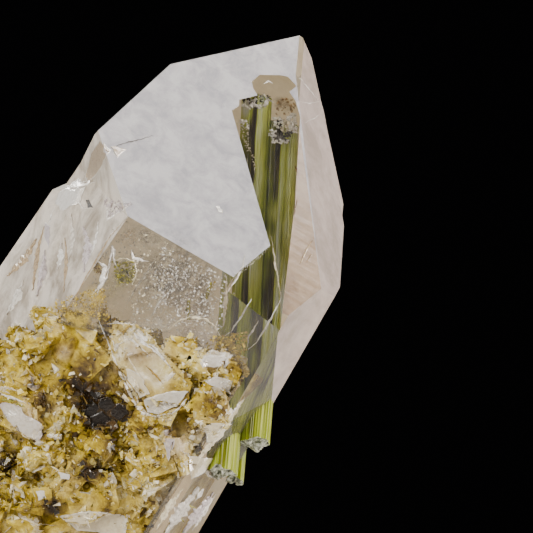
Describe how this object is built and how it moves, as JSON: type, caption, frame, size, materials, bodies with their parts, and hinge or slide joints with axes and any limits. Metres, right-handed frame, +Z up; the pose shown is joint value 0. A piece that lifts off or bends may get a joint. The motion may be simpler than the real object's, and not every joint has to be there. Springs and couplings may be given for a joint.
{
  "type": "green tourmaline in quartz",
  "caption": "Leaning clear quartz point with green tourmaline rods through it and a rough iron-stained crust low on its front, flat where its base is broken.",
  "frame": {"origin": "centre of the bounding box at the flat broken base", "axes": "+Z up, the crystal leaning towards +X, its front with the crust facing -Y"},
  "size_m": [0.0568, 0.0264, 0.0546],
  "materials": {
    "clear_quartz": "clear natural crystal with satin growth faces and faint veils",
    "green_tourmaline": "ribbed olive-green crystal, vitreous, frosted where broken",
    "iron_stained_quartz": "rough broken crystal stained ochre to dark brown by iron"
  },
  "bodies": {
    "root": {"quartz_point": "clear_quartz", "tourmaline_left": "green_tourmaline", "tourmaline_middle": "green_tourmaline", "tourmaline_right": "green_tourmaline", "stained_crust": "iron_stained_quartz"}
  },
  "joints": []
}
